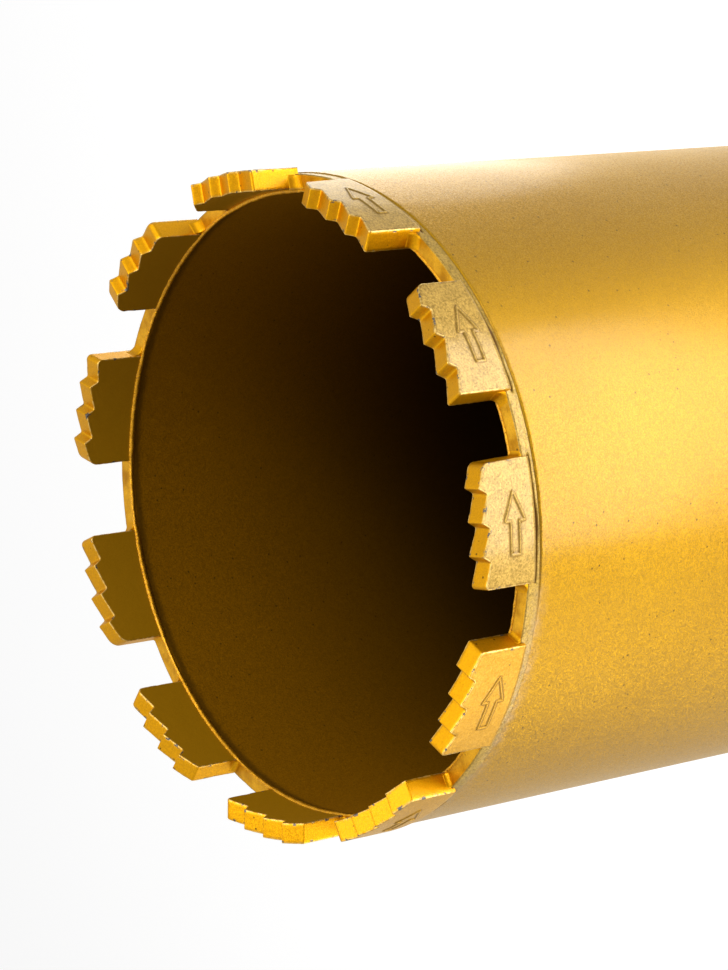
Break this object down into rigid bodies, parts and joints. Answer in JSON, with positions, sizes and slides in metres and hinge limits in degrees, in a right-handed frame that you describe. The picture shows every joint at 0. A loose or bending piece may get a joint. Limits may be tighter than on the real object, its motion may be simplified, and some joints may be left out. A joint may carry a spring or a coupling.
{
  "type": "diamond core bit",
  "caption": "Hollow drilling bit: gold-painted steel barrel with a crown of sawtooth diamond segments, closed at the back by a plate with a threaded drive hub.",
  "frame": {"origin": "centre of the drive hub's back face, on the bit's axis, where the bit stands", "axes": "+Z along the bit's axis from the hub to the crown, +X through the even place of segment_01, +Y completes the right-handed frame"},
  "size_m": [0.1322, 0.132, 0.5017],
  "materials": {
    "painted_barrel": "gold metallic paint, satin",
    "painted_back": "gold metallic paint, satin",
    "painted_hub": "gold metallic paint, satin",
    "segment": "gold paint over a rough sintered matrix"
  },
  "bodies": {
    "root": {"barrel": "painted_barrel", "end_plate": "painted_back", "drive_hub": "painted_hub", "segment_01": "segment", "segment_02": "segment", "segment_03": "segment", "segment_04": "segment", "segment_05": "segment", "segment_06": "segment", "segment_07": "segment", "segment_08": "segment", "segment_09": "segment", "segment_10": "segment", "segment_11": "segment"}
  },
  "joints": []
}
